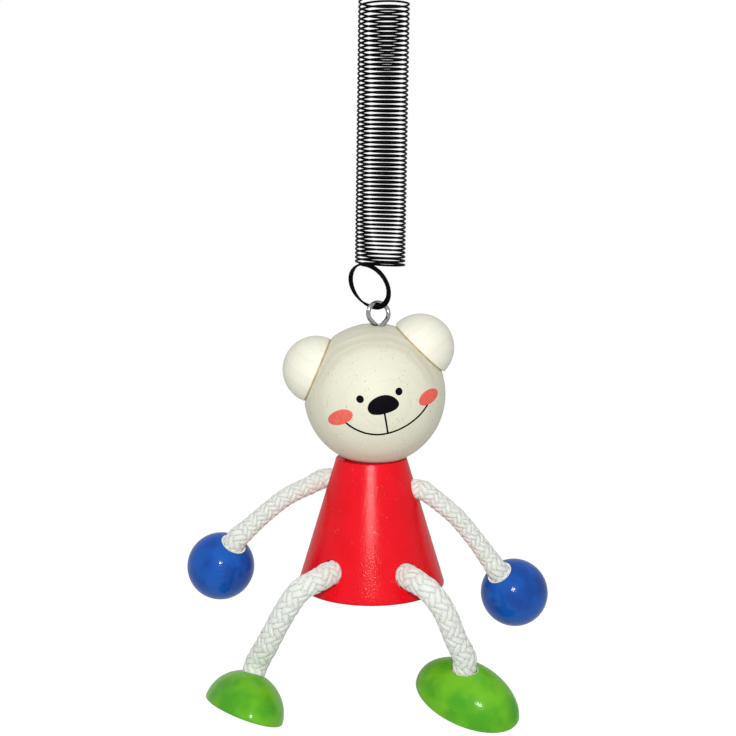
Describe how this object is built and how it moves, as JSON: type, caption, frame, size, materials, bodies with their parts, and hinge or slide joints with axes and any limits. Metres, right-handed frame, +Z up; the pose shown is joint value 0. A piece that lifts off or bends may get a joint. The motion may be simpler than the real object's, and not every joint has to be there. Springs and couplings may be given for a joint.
{
  "type": "wooden spring figure",
  "caption": "Hanging toy: a turned wooden animal with cord arms and legs that bounces on a long coil spring with a loop to hang it by.",
  "frame": {"origin": "the point of the top loop that rests on a hook, on the line of the spring's pull", "axes": "+Z up along the hanging spring, the face looks along -Y, +X to the right of someone who looks at the face"},
  "size_m": [0.0908, 0.0507, 0.184],
  "materials": {
    "spring_wire": "blackened",
    "eye_wire": "polished",
    "natural_wood": "satin",
    "dowel_wood": "matte",
    "red_wood": "satin",
    "blue_wood": "gloss",
    "green_wood": "gloss",
    "white_cord": "matte"
  },
  "bodies": {
    "hook_end": {"top_loop": "spring_wire"},
    "spring": {"spring_coil": "spring_wire"},
    "spring_end": {"bottom_loop": "spring_wire"},
    "figure": {"screw_eye": "eye_wire", "head": "natural_wood", "ear_left": "natural_wood", "ear_right": "natural_wood", "ear_dowel_left": "dowel_wood", "ear_dowel_right": "dowel_wood", "neck_dowel": "dowel_wood", "body_cone": "red_wood"},
    "arm_left": {"arm_cord_left": "white_cord", "hand_left": "blue_wood"},
    "arm_right": {"arm_cord_right": "white_cord", "hand_right": "blue_wood"},
    "leg_left": {"leg_cord_left": "white_cord", "foot_left": "green_wood"},
    "leg_right": {"leg_cord_right": "white_cord", "foot_right": "green_wood"}
  },
  "joints": [
    {"name": "spring_sway", "type": "hinge", "parent": "hook_end", "child": "spring", "pos_m": [0, 0, -0.01128], "axis": [0, 1, 0], "range_deg": [-25, 25], "deforming": ["spring_coil"]},
    {"name": "bounce", "type": "slide", "parent": "spring", "child": "spring_end", "axis": [0, 0, -1], "range_m": [-0.016, 0.1], "stiffness_N_per_m": 6.3, "springref_m": -0.05065, "deforming": ["spring_coil"]},
    {"name": "figure_swing", "type": "hinge", "parent": "spring_end", "child": "figure", "pos_m": [0, 0, -0.08454], "axis": [-0.7547, 0.6561, 0], "range_deg": [-25, 25]},
    {"name": "shoulder_left", "type": "hinge", "parent": "figure", "child": "arm_left", "pos_m": [-0.01995, 0.00232, -0.13062], "axis": [0, 1, 0], "range_deg": [-20, 50], "stiffness_Nm_per_rad": 0.005, "springref_deg": 2.97, "deforming": ["arm_cord_left"]},
    {"name": "shoulder_right", "type": "hinge", "parent": "figure", "child": "arm_right", "pos_m": [0.01857, -0.00153, -0.13422], "axis": [0, -1, 0], "range_deg": [-20, 50], "stiffness_Nm_per_rad": 0.005, "springref_deg": 2.66, "deforming": ["arm_cord_right"]},
    {"name": "hip_left", "type": "hinge", "parent": "figure", "child": "leg_left", "pos_m": [-0.0187, -0.01788, -0.1507], "axis": [-1, 0, 0], "range_deg": [-12, 50], "stiffness_Nm_per_rad": 0.005, "springref_deg": -0.3, "deforming": ["leg_cord_left"]},
    {"name": "hip_right", "type": "hinge", "parent": "figure", "child": "leg_right", "pos_m": [0.01398, -0.01918, -0.15043], "axis": [-1, 0, 0], "range_deg": [-12, 50], "stiffness_Nm_per_rad": 0.005, "springref_deg": -0.66, "deforming": ["leg_cord_right"]}
  ]
}
